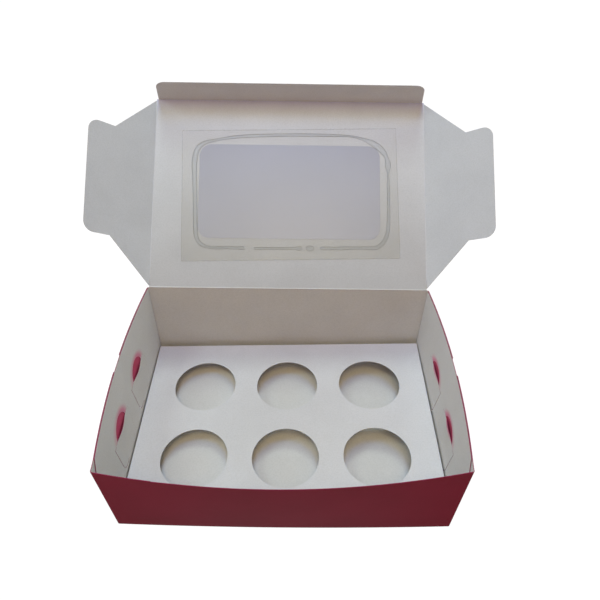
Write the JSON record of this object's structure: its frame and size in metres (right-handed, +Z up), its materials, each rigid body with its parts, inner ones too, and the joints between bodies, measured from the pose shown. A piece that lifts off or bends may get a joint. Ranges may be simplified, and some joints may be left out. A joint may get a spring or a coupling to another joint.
{
  "type": "cupcake box",
  "caption": "Folding board cupcake box with a windowed hinged lid, tuck flaps and a raised insert with round cup holes.",
  "frame": {"origin": "centre of the underside of the base", "axes": "+X to the right along the front wall, +Y to the back wall with the lid hinge, +Z up"},
  "size_m": [0.3433, 0.3317, 0.2262],
  "materials": {
    "printed_board": "satin burgundy outside, plain white board inside",
    "white_board": "plain white board",
    "window_film": "clear glossy film"
  },
  "bodies": {
    "tray": {"tray": "printed_board", "cupcake_insert": "white_board"},
    "lid": {"lid_panel": "printed_board", "window_film": "window_film"},
    "left_flap": {"left_side_flap": "printed_board"},
    "right_flap": {"right_side_flap": "printed_board"},
    "front_flap": {"front_tuck_flap": "printed_board"}
  },
  "joints": [
    {"name": "lid_hinge", "type": "hinge", "parent": "tray", "child": "lid", "pos_m": [0, 0.09, 0.0861], "axis": [-1, 0, 0], "range_deg": [-139, 60]},
    {"name": "left_flap_hinge", "type": "hinge", "parent": "lid", "child": "left_flap", "pos_m": [-0.1261, 0.09, 0.0861], "axis": [0, 0.7547, 0.6561], "range_deg": [-48, 66]},
    {"name": "right_flap_hinge", "type": "hinge", "parent": "lid", "child": "right_flap", "pos_m": [0.1261, 0.09, 0.0861], "axis": [0, -0.7547, -0.6561], "range_deg": [-42, 72]},
    {"name": "front_flap_hinge", "type": "hinge", "parent": "lid", "child": "front_flap", "pos_m": [0, 0.22509, 0.20353], "axis": [1, 0, 0], "range_deg": [-86, 8]}
  ],
  "couplings": [
    {"joint": "left_flap_hinge", "follows": "lid_hinge", "ratio": -0.4604},
    {"joint": "right_flap_hinge", "follows": "lid_hinge", "ratio": -0.5036}
  ]
}
